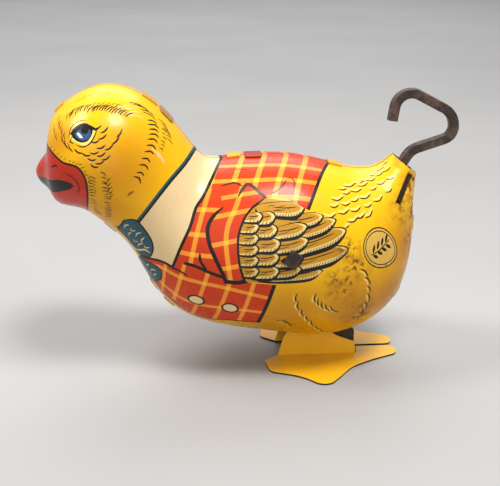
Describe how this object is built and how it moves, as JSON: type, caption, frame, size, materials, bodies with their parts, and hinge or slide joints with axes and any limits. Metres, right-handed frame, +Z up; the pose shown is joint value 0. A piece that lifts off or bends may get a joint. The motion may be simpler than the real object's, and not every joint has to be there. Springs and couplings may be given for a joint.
{
  "type": "wind-up tin toy",
  "caption": "Wind-up tin chick of two tabbed half shells, with a bent rod crank at the tail that drives two webbed feet on rocking legs.",
  "frame": {"origin": "centre of the bounding box on the surface that the feet stand on", "axes": "-X the way the beak points, -Y the chick's left side, +Z up; the two shells meet on the plane Y = 0"},
  "size_m": [0.1044, 0.0446, 0.0709],
  "materials": {
    "litho_tin": "glossy lithographed tinplate, lightly worn",
    "foot_paint": "glossy yellow paint, worn to dark metal at the edges",
    "crank_steel": "dark browned steel rod, worn lighter on its upper faces",
    "frame_steel": "dark blued sheet steel",
    "spring_steel": "spring steel",
    "brass": "turned brass",
    "bright_steel": "plain steel"
  },
  "bodies": {
    "body": {"left_shell": "litho_tin", "right_shell": "litho_tin", "mechanism_frame": "frame_steel", "upper_bearing": "frame_steel", "lower_bush": "brass", "mainspring": "spring_steel", "spring_anchor": "bright_steel", "leg_axle": "bright_steel", "axle_clip": "bright_steel", "leg_spacer": "bright_steel", "cheek_spacers": "bright_steel"},
    "crank": {"winding_crank": "crank_steel", "drive_collar": "bright_steel", "collar_pin": "bright_steel", "shaft_washer": "brass", "ratchet_wheel": "bright_steel", "retaining_cap": "bright_steel"},
    "crown": {"crown_wheel": "bright_steel", "click_leaf": "spring_steel", "click_rivet": "bright_steel"},
    "left_leg": {"left_leg": "frame_steel", "left_foot": "foot_paint", "left_foot_rivets": "bright_steel"},
    "right_leg": {"right_leg": "frame_steel", "right_foot": "foot_paint", "right_foot_rivets": "bright_steel"}
  },
  "joints": [
    {"name": "crank_turn", "type": "hinge", "parent": "body", "child": "crank", "pos_m": [0.0385, 0, 0.0508], "axis": [0.5299, 0, 0.848], "continuous": true},
    {"name": "crown_wheel_turn", "type": "hinge", "parent": "body", "child": "crown", "pos_m": [0.0385, 0, 0.0508], "axis": [0.5299, 0, 0.848], "continuous": true},
    {"name": "left_leg_swing", "type": "hinge", "parent": "body", "child": "left_leg", "pos_m": [0.01402, 0, 0.01162], "axis": [0, 1, 0], "range_deg": [-6, 6]},
    {"name": "right_leg_swing", "type": "hinge", "parent": "body", "child": "right_leg", "pos_m": [0.01402, 0, 0.01162], "axis": [0, 1, 0], "range_deg": [-6, 6]}
  ],
  "couplings": [
    {"joint": "crown_wheel_turn", "follows": "crank_turn", "ratio": 1},
    {"joint": "right_leg_swing", "follows": "left_leg_swing", "ratio": -1}
  ]
}
